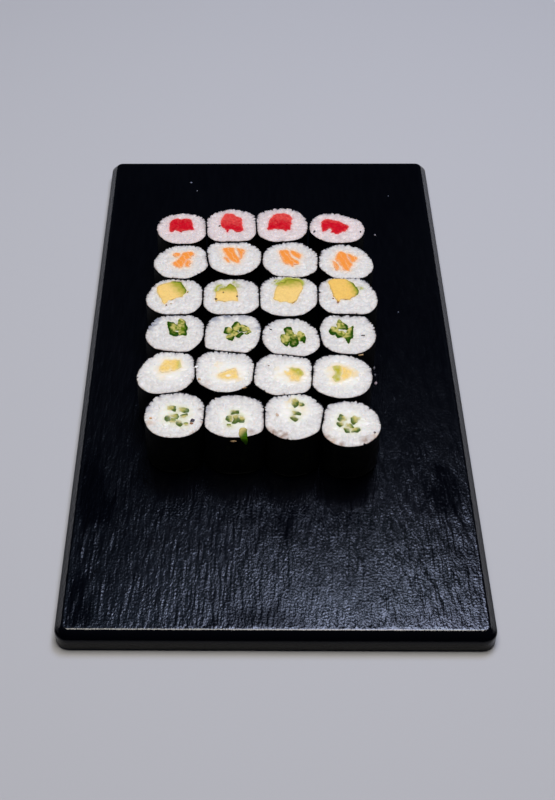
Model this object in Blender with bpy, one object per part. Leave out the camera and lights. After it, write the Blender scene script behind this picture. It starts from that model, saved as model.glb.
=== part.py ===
"""Maki platter: twenty-four cut sushi rolls, standing in six rows of four on a bevelled black board.

Sizes are in millimetres and scaled to metres where meshes are made. +Z is up, +Y runs from the front row to
the back row, and the origin is the middle of the board's underside.
"""

import math
from collections import namedtuple

import bmesh
import bpy
from mathutils import Matrix, Vector, noise

MM = 0.001

# The board is a one-third gastronorm tray.
BOARD_WIDTH = 176.0
BOARD_LENGTH = 325.0
BOARD_THICKNESS = 10.0
CORNER_RADIUS = 6.0
CORNER_STEPS = 5
BEVEL = 3.2
EDGE_ROUNDING = 0.6
FOOT_CHAMFER = 1.2

# A roll is as long as half a sheet of nori, and is cut into eight pieces.
NORI_SHEET_LENGTH = 190.0
PIECES_PER_ROLL = 8
ROLL_HEIGHT = NORI_SHEET_LENGTH / PIECES_PER_ROLL
REST_GAP = 0.3

# The section of a roll: a round square with a slight wave, flattened where a neighbour presses on it.
SECTION_STEPS = 28
SQUARENESS = 2.2
WAVINESS = 0.15
CONTACT_GAP = 0.3
CONTACT_SOFTNESS = 1.2

# The nori's side from the foot up, as the height and the inset of each loop, and then its cut edge.
NORI_SIDE = ((0.0, 0.7), (0.9, 0.05), (13.0, 0.0))
RIM_DROP = 0.5
RIM_INSET = 0.8

# The rice on the cut face: rings at these shares of its radius, with bumps the size of a grain.
RICE_RINGS = (0.79, 0.58, 0.38, 0.18)
RICE_GRAIN = 3.0
RICE_RELIEF = 0.55

# Each piece of a roll: the middle of its cut face, its width and depth, the turn of its section in degrees,
# how far its cut face leans ahead of its foot towards the front, and how far its height strays from the mean.
Piece = namedtuple("Piece", "x y width depth turn lean rise")
ROWS = {
    "tuna": (
        Piece(-44.0, 68.5, 26.5, 25.5, -10, 0.0, -0.3),
        Piece(-19.5, 69.5, 28.0, 29.0, -30, 0.0, 0.2),
        Piece(5.0, 70.5, 28.0, 28.5, 20, 0.0, 0.3),
        Piece(33.0, 68.5, 28.5, 24.0, -20, 0.5, -0.2),
    ),
    "salmon": (
        Piece(-43.5, 41.5, 28.5, 25.5, 40, 0.5, 0.0),
        Piece(-18.5, 45.0, 29.0, 27.0, -40, -0.5, 0.3),
        Piece(9.5, 43.0, 28.0, 29.0, 35, 0.0, 0.0),
        Piece(36.0, 41.5, 29.0, 26.0, -55, 0.5, -0.3),
    ),
    "avocado": (
        Piece(-45.5, 15.0, 27.5, 28.5, -25, 0.0, 0.1),
        Piece(-19.0, 15.0, 30.0, 28.0, 10, 0.0, 0.0),
        Piece(7.5, 15.5, 30.0, 31.0, -25, 0.0, 0.5),
        Piece(35.5, 15.0, 28.5, 31.0, 20, 0.0, 0.5),
    ),
    "cucumber": (
        Piece(-44.5, -10.5, 28.5, 27.0, 60, 0.0, 0.0),
        Piece(-18.5, -11.5, 31.0, 27.0, 75, -0.5, 0.3),
        Piece(8.5, -13.5, 26.5, 28.5, 35, 0.5, -0.3),
        Piece(34.5, -10.5, 26.5, 29.5, 0, 0.0, 0.0),
    ),
    "cheese_avocado": (
        Piece(-47.0, -37.0, 30.5, 25.5, 60, 1.0, 0.0),
        Piece(-21.5, -35.5, 28.5, 29.0, 35, 0.0, 0.2),
        Piece(5.0, -38.0, 29.5, 29.0, -40, 0.0, 0.0),
        Piece(30.0, -39.5, 29.0, 28.5, -20, 0.5, 0.3),
    ),
    "cheese_cucumber": (
        Piece(-42.5, -63.5, 27.0, 28.5, -15, 1.0, 0.0),
        Piece(-16.5, -64.5, 29.5, 26.5, -5, 0.0, 0.2),
        Piece(8.5, -64.5, 28.5, 28.5, -45, 0.0, 0.4),
        Piece(32.5, -68.5, 26.5, 28.0, 15, 2.5, -0.3),
    ),
}
PIECES = [piece for row in ROWS.values() for piece in row]


def clear_scene():
    for obj in list(bpy.data.objects):
        bpy.data.objects.remove(obj, do_unlink=True)


def new_collection(name):
    collection = bpy.data.collections.new(name)
    bpy.context.scene.collection.children.link(collection)
    return collection


def new_material(name, colour, roughness):
    material = bpy.data.materials.new(name)
    material.use_nodes = True
    shader = material.node_tree.nodes["Principled BSDF"]
    shader.inputs["Base Color"].default_value = (*colour, 1.0)
    shader.inputs["Roughness"].default_value = roughness
    shader.inputs["Metallic"].default_value = 0.0
    return material


def add_object(name, bm, materials, collection):
    """Turns a mesh in millimetres into a named object in metres, its faces pointing out."""
    bmesh.ops.recalc_face_normals(bm, faces=bm.faces)
    bmesh.ops.scale(bm, vec=(MM, MM, MM), verts=bm.verts)
    mesh = bpy.data.meshes.new(name)
    bm.to_mesh(mesh)
    bm.free()
    for material in materials:
        mesh.materials.append(material)
    mesh.shade_smooth()
    mesh.set_sharp_from_angle(angle=math.radians(35))
    obj = bpy.data.objects.new(name, mesh)
    collection.objects.link(obj)
    return obj


def edges_at(bm, height):
    """The edges that lie all in one level."""
    return [e for e in bm.edges if all(abs(v.co.z - height) < 1e-4 for v in e.verts)]


def bevel(bm, edges, width, segments):
    bmesh.ops.bevel(
        bm,
        geom=edges,
        offset=width,
        offset_type="OFFSET",
        segments=segments,
        profile=0.5,
        affect="EDGES",
    )


def make_board(collection):
    """A slab with round corners, a wide bevel round its top face and a small one round its foot."""
    bm = bmesh.new()
    size = Matrix.Diagonal((BOARD_WIDTH, BOARD_LENGTH, BOARD_THICKNESS, 1.0))
    lift = Matrix.Translation((0, 0, BOARD_THICKNESS / 2))
    bmesh.ops.create_cube(bm, size=1.0, matrix=lift @ size)
    upright = [e for e in bm.edges if e.verts[0].co.xy == e.verts[1].co.xy]
    bevel(bm, upright, CORNER_RADIUS, CORNER_STEPS)
    bevel(bm, edges_at(bm, BOARD_THICKNESS), BEVEL, 1)
    bevel(bm, edges_at(bm, BOARD_THICKNESS), EDGE_ROUNDING, 2)
    bevel(bm, edges_at(bm, BOARD_THICKNESS - BEVEL), EDGE_ROUNDING, 1)
    bevel(bm, edges_at(bm, 0.0), FOOT_CHAMFER, 1)
    melamine = new_material("black_melamine", (0.012, 0.014, 0.018), 0.35)
    return add_object("board", bm, [melamine], collection)


def centre(piece, rise):
    """The middle of the section at a share of the height, from 0 at the foot to 1 at the cut face."""
    return Vector((piece.x, piece.y + piece.lean * (1 - rise)))


def free_radius(piece, angle):
    """The section's radius along a direction, before the neighbours press on it."""
    local = angle - math.radians(piece.turn)
    across = abs(math.cos(local)) / (piece.width / 2)
    along = abs(math.sin(local)) / (piece.depth / 2)
    round_square = (across**SQUARENESS + along**SQUARENESS) ** (-1 / SQUARENESS)
    wave = math.sin(3 * angle + piece.x) + 0.6 * math.sin(5 * angle + piece.y)
    return round_square + WAVINESS * wave


def soft_minimum(a, b):
    """The smaller of two lengths, drawn in a little further where they are close."""
    near = max(CONTACT_SOFTNESS - abs(a - b), 0) / CONTACT_SOFTNESS
    return min(a, b) - near * near * CONTACT_SOFTNESS / 4


def section_radius(piece, angle, rise):
    """The section's radius once each neighbour has flattened its side of the roll."""
    radius = free_radius(piece, angle)
    for other in PIECES:
        apart = centre(other, rise) - centre(piece, rise)
        if other is piece or apart.length > piece.width + other.width:
            continue
        towards = math.atan2(apart.y, apart.x)
        facing = math.cos(angle - towards)
        if facing < 0.1:
            continue
        own = free_radius(piece, towards)
        its = free_radius(other, towards + math.pi)
        contact = apart.length * own / (own + its) - CONTACT_GAP / 2
        radius = soft_minimum(radius, contact / facing)
    return radius


def rice_height(piece, x, y):
    """Bumps the size of a rice grain, the same each run."""
    return RICE_RELIEF * noise.noise(Vector((x, y, piece.x)) / RICE_GRAIN)


def add_loop(bm, piece, height, inset, share=1.0, relief=False):
    """The section at a height, drawn in by an inset and then scaled to a share."""
    rise = height / ROLL_HEIGHT
    middle = centre(piece, rise)
    loop = []
    for step in range(SECTION_STEPS):
        angle = 2 * math.pi * step / SECTION_STEPS
        radius = (section_radius(piece, angle, rise) - inset) * share
        x = middle.x + radius * math.cos(angle)
        y = middle.y + radius * math.sin(angle)
        z = BOARD_THICKNESS + REST_GAP + height
        if relief:
            z += rice_height(piece, x, y)
        loop.append(bm.verts.new((x, y, z)))
    return loop


def add_band(bm, lower, upper, material_index):
    """A band of quads between two loops."""
    for step in range(SECTION_STEPS):
        after = (step + 1) % SECTION_STEPS
        face = bm.faces.new((lower[step], lower[after], upper[after], upper[step]))
        face.material_index = material_index


def make_roll(name, piece, nori, rice, collection):
    """A standing drum lofted through its sections, of nori up to the cut edge and bumpy rice within it."""
    bm = bmesh.new()
    top = ROLL_HEIGHT + piece.rise
    side = [add_loop(bm, piece, height, inset) for height, inset in NORI_SIDE]
    side.append(add_loop(bm, piece, top - RIM_DROP, 0.0))
    face = [add_loop(bm, piece, top, RIM_INSET)]
    face += [add_loop(bm, piece, top, RIM_INSET, share, True) for share in RICE_RINGS]
    bm.faces.new(reversed(side[0]))
    for lower, upper in zip(side, side[1:]):
        add_band(bm, lower, upper, 0)
    for lower, upper in zip([side[-1]] + face, face):
        add_band(bm, lower, upper, 1)
    middle = bm.faces.new(face[-1])
    middle.material_index = 1
    bmesh.ops.poke(bm, faces=[middle])
    return add_object(name, bm, [nori, rice], collection)


def main():
    clear_scene()
    platter = new_collection("maki_platter")
    make_board(platter)
    nori = new_material("nori", (0.010, 0.014, 0.010), 0.6)
    rice = new_material("rice", (0.82, 0.80, 0.78), 0.5)
    for row, (filling, pieces) in enumerate(ROWS.items(), start=1):
        for column, piece in enumerate(pieces, start=1):
            make_roll(f"roll_{row}_{column}_{filling}", piece, nori, rice, platter)


main()
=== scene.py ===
"""The looks of a maki platter: rice of real grains, sheets of nori, fillings, crumbs and an embossed board.

Sizes are in millimetres and scaled to metres where meshes are made. The forms come from the CAD solids: the
sections of each roll are read back from its node, and its nori, rice and filling are built inside them.
"""

import math
from collections import namedtuple

import bmesh
import bpy
import numpy as np
from mathutils import Matrix, Vector
from mathutils.geometry import delaunay_2d_cdt

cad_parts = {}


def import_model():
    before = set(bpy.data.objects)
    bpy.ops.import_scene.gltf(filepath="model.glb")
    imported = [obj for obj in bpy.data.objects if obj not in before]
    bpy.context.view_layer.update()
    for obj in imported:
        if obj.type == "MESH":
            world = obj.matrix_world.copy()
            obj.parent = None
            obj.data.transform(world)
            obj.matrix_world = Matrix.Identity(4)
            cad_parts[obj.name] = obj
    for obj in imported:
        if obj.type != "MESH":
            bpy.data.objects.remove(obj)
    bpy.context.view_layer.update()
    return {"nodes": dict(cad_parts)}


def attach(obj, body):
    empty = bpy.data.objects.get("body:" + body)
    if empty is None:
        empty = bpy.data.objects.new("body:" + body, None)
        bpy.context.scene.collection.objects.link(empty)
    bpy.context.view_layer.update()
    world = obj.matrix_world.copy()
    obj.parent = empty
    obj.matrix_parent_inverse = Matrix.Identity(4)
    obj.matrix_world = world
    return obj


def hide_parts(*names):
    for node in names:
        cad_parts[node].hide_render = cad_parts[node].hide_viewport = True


MM = 0.001
FULL_TURN = 2 * math.pi

# The CAD roll: the points in a section, the sections from foot to rim, the height that tells two of them
# apart, how far the cut face lies above the rim, and where the roll stands. Nothing rises above HIGHEST.
SECTION_STEPS = 28
SECTIONS = 4
LEVEL_GAP = 0.01
RIM_DROP = 0.5
BOARD_TOP = 10.0
REST_GAP = 0.3
FOOT_Z = BOARD_TOP + REST_GAP
HIGHEST = 34.95

# Nori: its thickness, how far its cut edge lies below the cut face, and the height in which its wrinkles fade
# out towards that edge. MEAN_RADIUS turns an angle into millimetres round a roll.
NORI_THICKNESS = 0.2
NORI_DROP = 0.15
RIM_HEIGHT = 1.5
NORI_STEPS = 144
NORI_ROWS = 26
MEAN_RADIUS = 14

# The points that cut faces are built on, and how far the pieces inside a roll stay within its side.
FACE_SPACING = 0.42
CHEESE_STEPS = 110
INSIDE_GAP = 0.3

# The edge of the rice. Notches are mostly at the back, with widths in degrees.
RICE_EDGE_STEPS = 300
RICE_INSET = 0.08
NOTCHES = 20
NOTCHES_AT_BACK = 0.8
BACK_ARC = (10, 170)
NOTCH_WIDTHS = (1.3, 4.0)
NOTCH_DEPTHS = (0.3, 1.4)

# Grains of rice: how far apart, how far they stray, the ranges of their sizes, tops and flat cuts, how far
# their sides drop, the depth between them, and the share of all this that the cut face shows.
GRAIN_SPACING = 2.4
GRAIN_STRAY = 0.8
GRAIN_HALF_LENGTHS = (2.0, 2.9)
GRAIN_HALF_WIDTHS = (1.05, 1.35)
GRAIN_TOPS = (-0.25, 0.55)
GRAIN_CUTS = (-0.07, 0.07)
GRAIN_DROP = 1.1
GRAIN_FLOOR = -0.7
GRAIN_RELIEF = 0.6

# How far the pieces of a filling lie above or below the cut face.
FILLING_LIFTS = (-0.15, 0.12)


def srgb(red, green, blue):
    """A colour from 0 to 255 as the linear values that Blender takes."""
    values = np.array((red, green, blue)) / 255
    return np.where(values > 0.04045, ((values + 0.055) / 1.055) ** 2.4, values / 12.92)


# The colours of the food, which its meshes carry.
RICE = srgb(237, 233, 226)
RICE_SHADE = srgb(205, 201, 198)
# Painted shade at the rice's rim next to the nori: grey and strongest behind, pinkish brown in front.
RICE_RIM_PAINTED_SHADE = srgb(135, 131, 138)
RICE_FRONT_PAINTED_SHADE = srgb(168, 146, 132)
RICE_STROKE = srgb(70, 66, 74)
CHEESE = srgb(255, 251, 240)
NORI_DARK = np.array((0.0020, 0.0023, 0.0032))
NORI_GREEN = np.array((0.006, 0.008, 0.004))
TUNA = srgb(206, 14, 36)
TUNA_LIGHT = srgb(238, 98, 88)
SALMON = srgb(255, 154, 62)
SALMON_FAT = srgb(255, 212, 168)
AVOCADO = srgb(253, 213, 128)
AVOCADO_DEEP = srgb(250, 202, 104)
AVOCADO_GREEN = srgb(164, 164, 46)
AVOCADO_SMEARED = srgb(251, 212, 122)
AVOCADO_SMEARED_GREEN = srgb(192, 182, 48)
AVOCADO_SKIN = srgb(76, 110, 14)
AVOCADO_EDGE = srgb(140, 110, 40)
FLESH = srgb(213, 199, 116)
FLESH_PALE = srgb(204, 190, 118)
FLESH_GREEN = srgb(108, 134, 4)
SKIN = srgb(36, 76, 0)
MUSH = srgb(186, 190, 78)
BROWN = srgb(140, 95, 60)
TAN = srgb(206, 172, 142)
# Painted grey shade for patches at the rims of the rice.
RIM_PAINTED_SHADE_GREY = srgb(122, 130, 150)

# The start of a region that is avocado mashed into the rice.
MASHED = -2

# A region of filling on a cut face: what it is, the direction of its skin or green side in degrees, how far
# towards that side this starts from -1 to 1, and the points of its outline from the middle of the roll.
Region = namedtuple("Region", "slot side start outline")


def region(slot, side, start, outline):
    """A region whose outline is written as x,y pairs in tenths of a millimetre."""
    return Region(slot, side, start, np.array([point.split(",") for point in outline.split()], float) / 10)


def tuna(start, outline):
    return region("tuna", 80, start, outline)


def salmon(side, outline):
    return region("salmon", side, 0, outline)


def avocado(side, start, outline):
    return region("avocado", side, start, outline)


def mashed(outline):
    """Avocado that the knife has mashed into the rice."""
    return region("avocado", 90, MASHED, outline)


def is_mashed(region):
    return region.slot == "avocado" and region.start == MASHED


def cucumber(side, start, outline):
    return region("cucumber", side, start, outline)


# The regions of filling on each cut face, by the row and the column of the roll.
FILLINGS = {
    "1_1": [
        tuna(0.7, """-67,20 -62,52 -49,69 -35,77 -8,71 15,77 31,71 41,56 48,8 54,-12 35,-13 15,-19
            0,-17 -15,-28 -38,-15 -50,-26 -63,-27"""),
    ],
    "1_2": [
        tuna(-0.3, """-50,58 -35,96 -25,102 -2,102 12,94 25,79 46,63 50,38 50,4 56,-23 50,-38 38,-44
            23,-40 4,-27 -12,-25 -17,-35 -22,-50 -27,-31 -35,-19 -48,-8 -54,23"""),
    ],
    "1_3": [
        tuna(-0.2, """-65,-38 -60,4 -56,35 -46,56 -31,81 -12,92 15,94 38,85 48,73 56,50 52,35 52,15
            56,6 48,-4 46,-38 31,-38 25,-50 15,-38 0,-38 -12,-33 -35,-33 -48,-38"""),
    ],
    "1_4": [
        tuna(0.5, """-73,27 -71,48 -58,67 -35,71 -15,63 12,54 31,38 60,12 52,-4 40,-25 27,-29 12,-42
            -2,-50 -15,-37 -29,-35 -23,-19 -29,-4 -35,-2 -50,-12 -62,-27 -71,-25"""),
    ],
    "2_1": [
        salmon(35, """4,63 35,73 50,69 52,54 42,40 35,25 23,15 15,0 12,-15 4,-27 -2,-46 -23,-42
            -40,-25 -38,-10 -23,8 -12,27 -2,42"""),
        salmon(35, "18,-15 27,8 38,6 40,-8 31,-23 35,-38 27,-40 17,-29"),
        salmon(35, "-42,50 -35,63 -15,62 -15,46 -27,35"),
    ],
    "2_2": [
        salmon(25, """-48,67 0,67 2,46 12,15 27,-15 27,-38 21,-48 8,-42 -8,-31 -21,-12 -35,12 -44,31
            -49,50"""),
        salmon(25, "17,63 33,60 50,50 52,38 44,19 40,-12 35,-12 32,15 25,42"),
        salmon(25, "-42,-4 -27,-17 -19,-35 -27,-42 -35,-23"),
    ],
    "2_3": [
        salmon(30, """-50,69 -17,71 -10,60 -4,35 4,15 19,0 35,-15 38,-31 25,-33 13,-30 8,-48 -2,-38
            -23,-31 -35,-12 -40,8 -46,38"""),
        salmon(30, "2,67 19,63 35,50 48,38 48,19 40,12 29,19 15,31 6,46"),
    ],
    "2_4": [
        salmon(20, """-25,77 -12,77 6,67 10,50 13,19 25,-4 31,-23 21,-38 15,-65 2,-65 -8,-50 -23,-23
            -33,0 -43,19 -40,42 -33,62"""),
        salmon(20, "17,60 35,50 54,35 56,21 46,8 35,-2 29,12 25,31 18,46"),
        salmon(20, "-58,0 -46,-4 -37,-31 -35,-54 -40,-60 -50,-42"),
    ],
    "3_1": [
        avocado(35, 0.35, """-90,54 -87,75 -69,88 -46,100 -23,110 4,110 21,106 27,92 38,67 47,50
            47,31 38,15 19,-4 4,-8 -15,-19 -35,-27 -38,-38 -48,-52 -60,-42 -67,-15 -77,4 -87,27"""),
    ],
    "3_2": [
        avocado(90, 0.15, """-75,-27 -75,8 -74,35 -63,42 -50,63 -31,65 -19,85 -8,96 2,85 13,75 21,62
            25,35 27,4 27,-31 4,-29 -27,-33 -58,-29"""),
        mashed("-84,42 -79,66 -66,85 -49,90 -45,80 -59,73 -66,58 -67,44 -75,34"),
        mashed("-43,73 -32,77 -26,69 -36,63"),
        mashed("5,106 11,114 18,109 13,101"),
        mashed("23,82 27,91 32,86 29,78"),
    ],
    "3_3": [
        avocado(95, 0.45, """-63,-4 -60,23 -54,46 -44,73 -38,88 -15,92 -8,108 8,117 23,115 46,110
            60,100 67,77 73,54 65,31 56,12 50,-4 42,-31 23,-54 4,-54 -15,-46 -35,-50 -50,-38 -67,-27"""),
        mashed("-56,76 -54,93 -36,104 -22,120 2,133 28,127 50,126 73,112 80,90 70,65 30,70 -20,70"),
        mashed("-62,106 -55,115 -44,114 -49,105"),
    ],
    "3_4": [
        avocado(15, 0.6, """-83,100 -75,115 -58,123 -31,124 -4,122 15,108 33,92 44,69 52,54 56,27
            48,10 33,-4 21,-13 8,-29 -8,-23 -31,-27 -42,-42 -52,-23 -62,-4 -65,15 -71,46 -77,73"""),
        mashed("67,54 72,64 80,58 75,50"),
    ],
    "4_1": [
        cucumber(170, 0.2, "-40,71 -15,69 5,46 12,17 -6,17 -25,10 -33,33"),
        cucumber(0, 0.35, "17,96 33,85 42,58 50,35 46,8 48,-12 38,-17 19,-12 15,23 10,58 12,81"),
        cucumber(250, -0.6, "-27,8 -15,13 4,0 15,-8 0,-23 -8,-23 -27,-4"),
    ],
    "4_2": [
        cucumber(140, 0.2, "21,79 35,62 33,38 19,18 4,27 0,46 8,65"),
        cucumber(200, 0.3, "37,56 54,54 73,35 77,19 54,12 34,19"),
        cucumber(180, 0.1, "-31,40 -15,38 -2,27 -9,2 -19,-4 -35,4"),
        cucumber(90, 1.2, "-6,19 15,14 27,8 15,-15 -4,-6"),
        cucumber(300, -0.1, "-23,-15 -2,-10 8,-19 0,-46 -23,-35"),
        cucumber(300, -2, "42,4 50,-4 27,-29 19,-19"),
        cucumber(180, 0.6, "81,17 83,10 66,-7 60,-2"),
    ],
    "4_3": [
        cucumber(120, 0.1, "-29,58 -17,68 -2,67 4,46 10,23 -4,8 -22,19 -25,38"),
        cucumber(270, 0.6, "-44,15 -25,16 -8,2 -8,-19 -19,-60 -35,-42 -44,-15"),
        cucumber(300, -0.4, "0,0 17,22 27,-12 33,-42 19,-62 -4,-56"),
        cucumber(330, 0.2, "38,40 58,23 63,-4 62,-35 52,-19 38,-23 29,-4 31,23"),
    ],
    "4_4": [
        cucumber(350, 0.1, "-35,88 -19,69 -2,48 4,25 -19,25 -42,31 -44,62"),
        cucumber(215, 0.1, "-81,15 -69,38 -54,35 -43,22 -53,-4 -69,-15 -79,-4"),
        cucumber(340, 0.1, "27,44 23,12 21,-31 12,-38 2,-69 -8,-42 -19,-27 -4,-4 8,21"),
        cucumber(225, 0.3, "-46,8 -23,8 -10,-8 -23,-27 -42,-35 -52,-19"),
    ],
    "5_1": [
        avocado(0, 0.6, "-35,31 -25,58 -15,77 4,77 48,77 54,54 58,35 42,17 27,9 12,12 4,2 -31,2"),
    ],
    "5_2": [
        avocado(0, 1.2, "17,-4 46,6 54,-15 60,-42 54,-58 31,-60 -4,-62 -29,-46 -23,-27 0,-15"),
    ],
    "5_3": [
        avocado(45, 0.1, """25,36 38,40 52,35 65,36 77,21 87,0 77,-19 67,-38 58,-46 46,-44 30,-43
            21,-20 6,4 4,15 17,9 25,19"""),
    ],
    "5_4": [
        avocado(180, -0.6, "-35,58 -4,65 10,50 12,23 -2,-4 -4,-23 -10,-38 -25,-38 -37,-12 -27,4 -25,27"),
        avocado(0, 1.2, "4,56 25,50 54,27 50,4 31,-15 8,-29 -6,-4 4,23"),
    ],
    "6_1": [
        cucumber(330, 0.1, "-33,46 -13,52 -2,46 -1,17 -15,27 -33,31"),
        cucumber(330, 0.2, "19,42 42,38 54,31 56,15 35,13 17,23"),
        cucumber(225, -0.6, "-38,-10 -25,-10 -20,-33 -35,-42 -42,-31"),
        cucumber(0, 0.7, "-19,-8 8,0 13,-15 8,-27 -8,-22"),
        cucumber(90, 1.2, "-22,-28 -2,-31 2,-48 -21,-46"),
        cucumber(90, -0.1, "25,-8 50,2 50,-8 38,-19 27,-20"),
        cucumber(250, -0.3, "5,-40 23,-46 33,-58 23,-71 10,-62"),
        cucumber(90, 1.2, "42,-53 53,-52 54,-63 44,-64"),
    ],
    "6_2": [
        cucumber(300, -0.3, "-17,31 12,27 12,13 -4,12 -17,8"),
        cucumber(200, 0.2, "-35,-8 -16,-1 -12,-19 -16,-39 -27,-35 -38,-23"),
        cucumber(280, -0.4, "-14,0 12,0 15,-23 8,-42 -12,-46 -9,-20"),
        cucumber(270, 0, "19,-4 31,-6 38,-23 35,-40 19,-38"),
        cucumber(90, 1.2, "-32,-52 -22,-53 -21,-63 -31,-64"),
    ],
    "6_3": [
        cucumber(315, 0.2, "-2,96 12,104 22,85 21,65 8,50 -2,69"),
        cucumber(315, 0.2, "26,80 40,77 46,62 31,58 24,69"),
        cucumber(315, 0, "-2,23 15,21 29,12 27,4 4,6"),
        cucumber(250, -0.3, "-13,-15 2,-4 19,-21 8,-35 -6,-25"),
    ],
    "6_4": [
        cucumber(160, 0.2, "-37,50 -19,38 -13,19 -40,13 -48,23"),
        cucumber(215, 0.3, "8,29 23,42 44,29 31,8 15,-10 10,8"),
        cucumber(225, 0, "-54,2 -35,8 -27,-8 -42,-19 -52,-10"),
        cucumber(0, 0.6, "-15,-6 4,-8 15,-25 8,-29 -12,-19"),
        cucumber(225, 0.2, "-23,-33 -4,-33 -4,-54 -21,-48"),
        cucumber(300, 0.3, "8,-35 37,-27 42,-38 31,-50 8,-50"),
    ],
}

# How far the fillings reach past these outlines.
GROWTH = {"tuna": 0.2, "salmon": 0.4, "avocado": 0.15, "cucumber": 0.4}

# How soft the corners of the fillings are, from 0 to 1.
SOFTNESS = {"tuna": 1.0, "salmon": 0.8, "avocado": 0.8, "cucumber": 0.3}

# Cream cheese around a filling: the middle of the smear and its half sizes.
CHEESES = {
    "5_1": (0.5, 2.5, 8.5, 8),
    "5_2": (1.5, -2, 9, 7.5),
    "5_3": (3.5, 0, 9, 8),
    "5_4": (0, 1, 8.5, 8),
    "6_1": (0.5, -0.5, 8.5, 8.5),
    "6_2": (0, -1.5, 7, 7),
    "6_3": (1, 2.5, 7.5, 9),
    "6_4": (-0.5, 0, 8, 8),
}

# The pink cast of the rice beside the tuna.
ROW_CASTS = {"1": np.array((1, 0.905, 0.925))}

# Patches on the rice: the middle of the patch, its radius, its colour and how strong it is. The green, tan
# and brown ones are stains; the grey ones at the rims are painted shade.
RICE_STAINS_AND_PAINTED_SHADE = {
    "3_1": [(-5.5, 8.5, 1.6, AVOCADO_GREEN, 0.3), (4.5, 6.5, 1.6, AVOCADO_GREEN, 0.35)],
    "3_2": [(-5.5, 7, 2.6, AVOCADO_GREEN, 0.4), (2.5, 8, 1.8, AVOCADO_GREEN, 0.35)],
    "3_3": [(-4.5, 10.5, 2.6, AVOCADO_GREEN, 0.4), (1, 13, 2.4, AVOCADO_GREEN, 0.35),
            (7, 9, 1.6, AVOCADO_GREEN, 0.3)],
    "3_4": [(6.5, 6, 1.6, AVOCADO_GREEN, 0.35)],
    "4_1": [(-9.5, 8.8, 3, RIM_PAINTED_SHADE_GREY, 0.7), (-12.2, 4.5, 2.4, RIM_PAINTED_SHADE_GREY, 0.6), (-2, 12.5, 1.8, RIM_PAINTED_SHADE_GREY, 0.5)],
    "4_2": [(-8, 10.5, 2.6, RIM_PAINTED_SHADE_GREY, 0.7), (-2, 12.5, 3, RIM_PAINTED_SHADE_GREY, 0.7), (5, 12, 3, RIM_PAINTED_SHADE_GREY, 0.5),
            (12.5, 5, 1.8, RIM_PAINTED_SHADE_GREY, 0.5)],
    "5_2": [(-7.5, -9, 2.2, TAN, 0.3)],
    "6_1": [(10.6, 2.9, 1, BROWN, 0.6), (11.7, -5, 1, BROWN, 0.6), (7.9, -11, 1.4, BROWN, 0.5),
            (-10.5, -4.5, 1.8, TAN, 0.6), (-6.5, -3, 1.6, TAN, 0.35), (5.5, -6.8, 1.6, TAN, 0.35),
            (-12, 4, 2.2, RIM_PAINTED_SHADE_GREY, 0.4)],
    "6_2": [(6.5, -10, 1.8, BROWN, 0.6), (-4, -7.5, 1.8, TAN, 0.3), (-12.8, 4, 2, RIM_PAINTED_SHADE_GREY, 0.35)],
    "6_3": [(-7, 0.2, 1, BROWN, 0.3), (-7.7, -10.4, 2.2, BROWN, 0.7), (-4.2, -11.6, 2, BROWN, 0.65),
            (-9.6, -7.5, 1.6, TAN, 0.4)],
    "6_4": [(-10.4, -7.6, 2, BROWN, 0.7), (-7.5, -10.5, 1.8, TAN, 0.7), (-4, -12.6, 1.8, BROWN, 0.7),
            (-8.5, -3.5, 2, TAN, 0.35), (6.2, -10.2, 2.2, BROWN, 0.6), (10.6, -7.5, 1.8, TAN, 0.4)],
}

# Yellow smears in the cheese: the middle, the radius and how strong it is.
YELLOW_SMEARS = {
    "5_1": [(-3, -4, 2.5, 0.2)],
    "5_2": [(-3.5, 4, 2.6, 0.35), (6.5, -6.5, 1.6, 0.3)],
    "5_3": [(-1.5, -0.5, 2.6, 0.25), (-3, 3, 2, 0.2)],
    "5_4": [(6.5, 1.5, 2.4, 0.5), (-5, 3.5, 2.2, 0.3)],
    "6_3": [(-1.5, 8.5, 2.5, 0.35), (3.5, 3.5, 2.2, 0.25)],
}

# White gaps in a filling of avocado: the middle and the radius.
PALE_GAPS = {"5_2": (1.6, -3.9, 1)}

# The avocado that is a deeper yellow than the others.
YELLOWS = {"3_4": AVOCADO_DEEP}

# A crumb: the roll that it lies on or the board, its place from the middle of the cut face or the board, its
# height above there, its size, its heading in degrees and its colour from 0 to 255. One that lies lower than
# HANGING is pressed flat against the front of its roll.
Crumb = namedtuple("Crumb", "place x y z size heading colour")
HANGING = -0.4
DARK = (36, 30, 40)
BEIGE = (206, 170, 126)
RUST = (150, 92, 50)

NORI_BITS = [
    Crumb("1_2", -6.1, 0, 0.1, (1.3, 0.8, 0.4), 20, DARK),
    Crumb("1_4", -11.2, -2.8, 0, (1.7, 1.1, 0.5), 60, DARK),
    Crumb("1_4", 11.9, -3.1, 0, (1.2, 0.7, 0.4), 100, DARK),
    Crumb("3_2", -7.4, -1.9, 0.1, (1.1, 1.3, 0.4), 0, (70, 52, 20)),
    Crumb("3_2", 2.6, 0.2, 0.1, (0.8, 1, 0.4), 0, (80, 60, 30)),
    Crumb("3_2", -4, 2.9, 0.3, (0.8, 0.7, 0.3), 0, (96, 70, 30)),
    Crumb("4_3", -9.3, 5.4, 0.1, (1.5, 0.6, 0.3), -35, DARK),
    Crumb("4_4", 7.1, -1.9, 0.1, (1.6, 0.5, 0.3), 0, DARK),
    Crumb("6_1", 7.7, -3.8, 0.2, (2, 1.6, 0.6), 10, (52, 34, 58)),
    Crumb("6_4", 10.4, -5.4, 0, (0.9, 0.8, 0.4), 0, (90, 70, 66)),
]
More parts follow.
